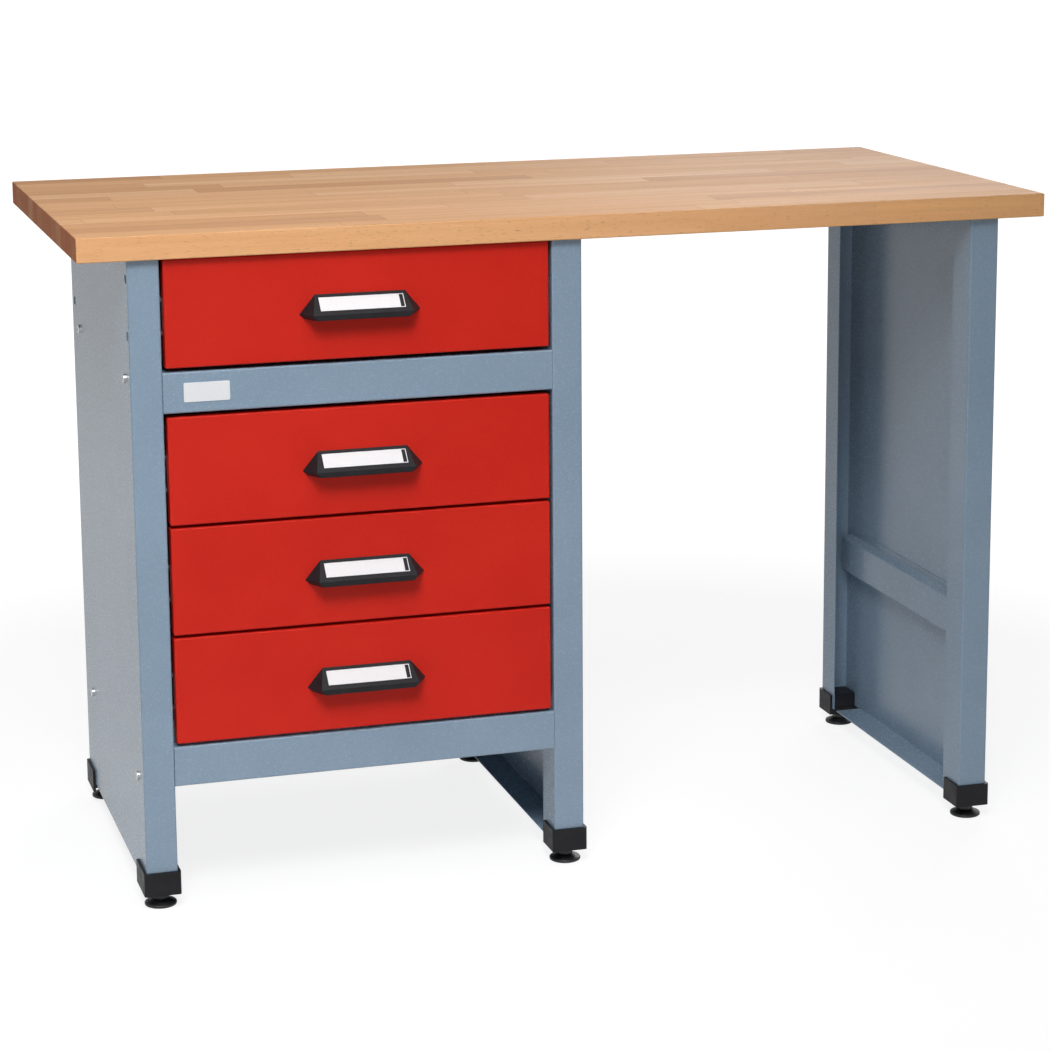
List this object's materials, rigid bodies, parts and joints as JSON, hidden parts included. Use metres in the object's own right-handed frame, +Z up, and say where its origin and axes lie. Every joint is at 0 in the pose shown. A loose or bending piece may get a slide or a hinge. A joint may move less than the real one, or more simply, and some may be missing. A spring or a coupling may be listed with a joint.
{
  "type": "workbench",
  "caption": "Workbench with a glued wooden top on folded steel side panels, a cabinet of drawers on one side and an open knee space on the other.",
  "frame": {"origin": "on the floor under the middle of the worktop", "axes": "+X along the worktop to the right, -Y towards the person at the bench, +Z up"},
  "size_m": [1.25, 0.613, 0.84],
  "materials": {
    "worktop_wood": "oiled, satin",
    "frame_paint": "satin powder coat",
    "drawer_paint": "satin powder coat",
    "drawer_box_paint": "satin powder coat",
    "slide_steel": "zinc plated",
    "fastener_steel": "zinc plated",
    "foot_steel": "blackened",
    "black_plastic": "fine grain",
    "label_card": "plain white card"
  },
  "bodies": {
    "bench_frame": {"worktop": "worktop_wood", "knee_space_rear_rail": "frame_paint", "cabinet_back_panel": "frame_paint", "crossbar_bolts": "fastener_steel", "worktop_screws": "fastener_steel", "slide_rivets": "fastener_steel", "left_side_panel": "frame_paint", "left_panel_stiffener": "frame_paint", "left_front_foot_cap": "black_plastic", "left_rear_foot_cap": "black_plastic", "middle_side_panel": "frame_paint", "middle_panel_stiffener": "frame_paint", "middle_front_foot_cap": "black_plastic", "middle_rear_foot_cap": "black_plastic", "right_side_panel": "frame_paint", "right_panel_stiffener": "frame_paint", "right_front_foot_cap": "black_plastic", "right_rear_foot_cap": "black_plastic", "front_upper_crossbar": "frame_paint", "rear_upper_crossbar": "frame_paint", "front_lower_crossbar": "frame_paint", "rear_lower_crossbar": "frame_paint", "top_drawer_outer_slides": "slide_steel", "second_drawer_outer_slides": "slide_steel", "third_drawer_outer_slides": "slide_steel", "bottom_drawer_outer_slides": "slide_steel"},
    "left_front_foot": {"left_front_levelling_foot": "foot_steel"},
    "left_rear_foot": {"left_rear_levelling_foot": "foot_steel"},
    "middle_front_foot": {"middle_front_levelling_foot": "foot_steel"},
    "middle_rear_foot": {"middle_rear_levelling_foot": "foot_steel"},
    "right_front_foot": {"right_front_levelling_foot": "foot_steel"},
    "right_rear_foot": {"right_rear_levelling_foot": "foot_steel"},
    "top_drawer": {"top_drawer_front": "drawer_paint", "top_drawer_box": "drawer_box_paint", "top_drawer_handle": "black_plastic", "top_drawer_label_card": "label_card", "top_drawer_handle_screws": "fastener_steel", "top_drawer_inner_slides": "slide_steel"},
    "top_intermediate": {"top_drawer_intermediate_slides": "slide_steel"},
    "second_drawer": {"second_drawer_front": "drawer_paint", "second_drawer_box": "drawer_box_paint", "second_drawer_handle": "black_plastic", "second_drawer_label_card": "label_card", "second_drawer_handle_screws": "fastener_steel", "second_drawer_inner_slides": "slide_steel"},
    "second_intermediate": {"second_drawer_intermediate_slides": "slide_steel"},
    "third_drawer": {"third_drawer_front": "drawer_paint", "third_drawer_box": "drawer_box_paint", "third_drawer_handle": "black_plastic", "third_drawer_label_card": "label_card", "third_drawer_handle_screws": "fastener_steel", "third_drawer_inner_slides": "slide_steel"},
    "third_intermediate": {"third_drawer_intermediate_slides": "slide_steel"},
    "bottom_drawer": {"bottom_drawer_front": "drawer_paint", "bottom_drawer_box": "drawer_box_paint", "bottom_drawer_handle": "black_plastic", "bottom_drawer_label_card": "label_card", "bottom_drawer_handle_screws": "fastener_steel", "bottom_drawer_inner_slides": "slide_steel"},
    "bottom_intermediate": {"bottom_drawer_intermediate_slides": "slide_steel"}
  },
  "joints": [
    {"name": "left_front_foot_height", "type": "slide", "parent": "bench_frame", "child": "left_front_foot", "axis": [0, 0, -1], "range_m": [0, 0.015]},
    {"name": "left_rear_foot_height", "type": "slide", "parent": "bench_frame", "child": "left_rear_foot", "axis": [0, 0, -1], "range_m": [0, 0.015]},
    {"name": "middle_front_foot_height", "type": "slide", "parent": "bench_frame", "child": "middle_front_foot", "axis": [0, 0, -1], "range_m": [0, 0.015]},
    {"name": "middle_rear_foot_height", "type": "slide", "parent": "bench_frame", "child": "middle_rear_foot", "axis": [0, 0, -1], "range_m": [0, 0.015]},
    {"name": "right_front_foot_height", "type": "slide", "parent": "bench_frame", "child": "right_front_foot", "axis": [0, 0, -1], "range_m": [0, 0.015]},
    {"name": "right_rear_foot_height", "type": "slide", "parent": "bench_frame", "child": "right_rear_foot", "axis": [0, 0, -1], "range_m": [0, 0.015]},
    {"name": "top_drawer_slide", "type": "slide", "parent": "bench_frame", "child": "top_drawer", "axis": [0, -1, 0], "range_m": [0, 0.4]},
    {"name": "top_intermediate_slide", "type": "slide", "parent": "bench_frame", "child": "top_intermediate", "axis": [0, -1, 0], "range_m": [0, 0.2]},
    {"name": "second_drawer_slide", "type": "slide", "parent": "bench_frame", "child": "second_drawer", "axis": [0, -1, 0], "range_m": [0, 0.4]},
    {"name": "second_intermediate_slide", "type": "slide", "parent": "bench_frame", "child": "second_intermediate", "axis": [0, -1, 0], "range_m": [0, 0.2]},
    {"name": "third_drawer_slide", "type": "slide", "parent": "bench_frame", "child": "third_drawer", "axis": [0, -1, 0], "range_m": [0, 0.4]},
    {"name": "third_intermediate_slide", "type": "slide", "parent": "bench_frame", "child": "third_intermediate", "axis": [0, -1, 0], "range_m": [0, 0.2]},
    {"name": "bottom_drawer_slide", "type": "slide", "parent": "bench_frame", "child": "bottom_drawer", "axis": [0, -1, 0], "range_m": [0, 0.4]},
    {"name": "bottom_intermediate_slide", "type": "slide", "parent": "bench_frame", "child": "bottom_intermediate", "axis": [0, -1, 0], "range_m": [0, 0.2]}
  ],
  "couplings": [
    {"joint": "top_intermediate_slide", "follows": "top_drawer_slide", "ratio": 0.5},
    {"joint": "second_intermediate_slide", "follows": "second_drawer_slide", "ratio": 0.5},
    {"joint": "third_intermediate_slide", "follows": "third_drawer_slide", "ratio": 0.5},
    {"joint": "bottom_intermediate_slide", "follows": "bottom_drawer_slide", "ratio": 0.5}
  ]
}
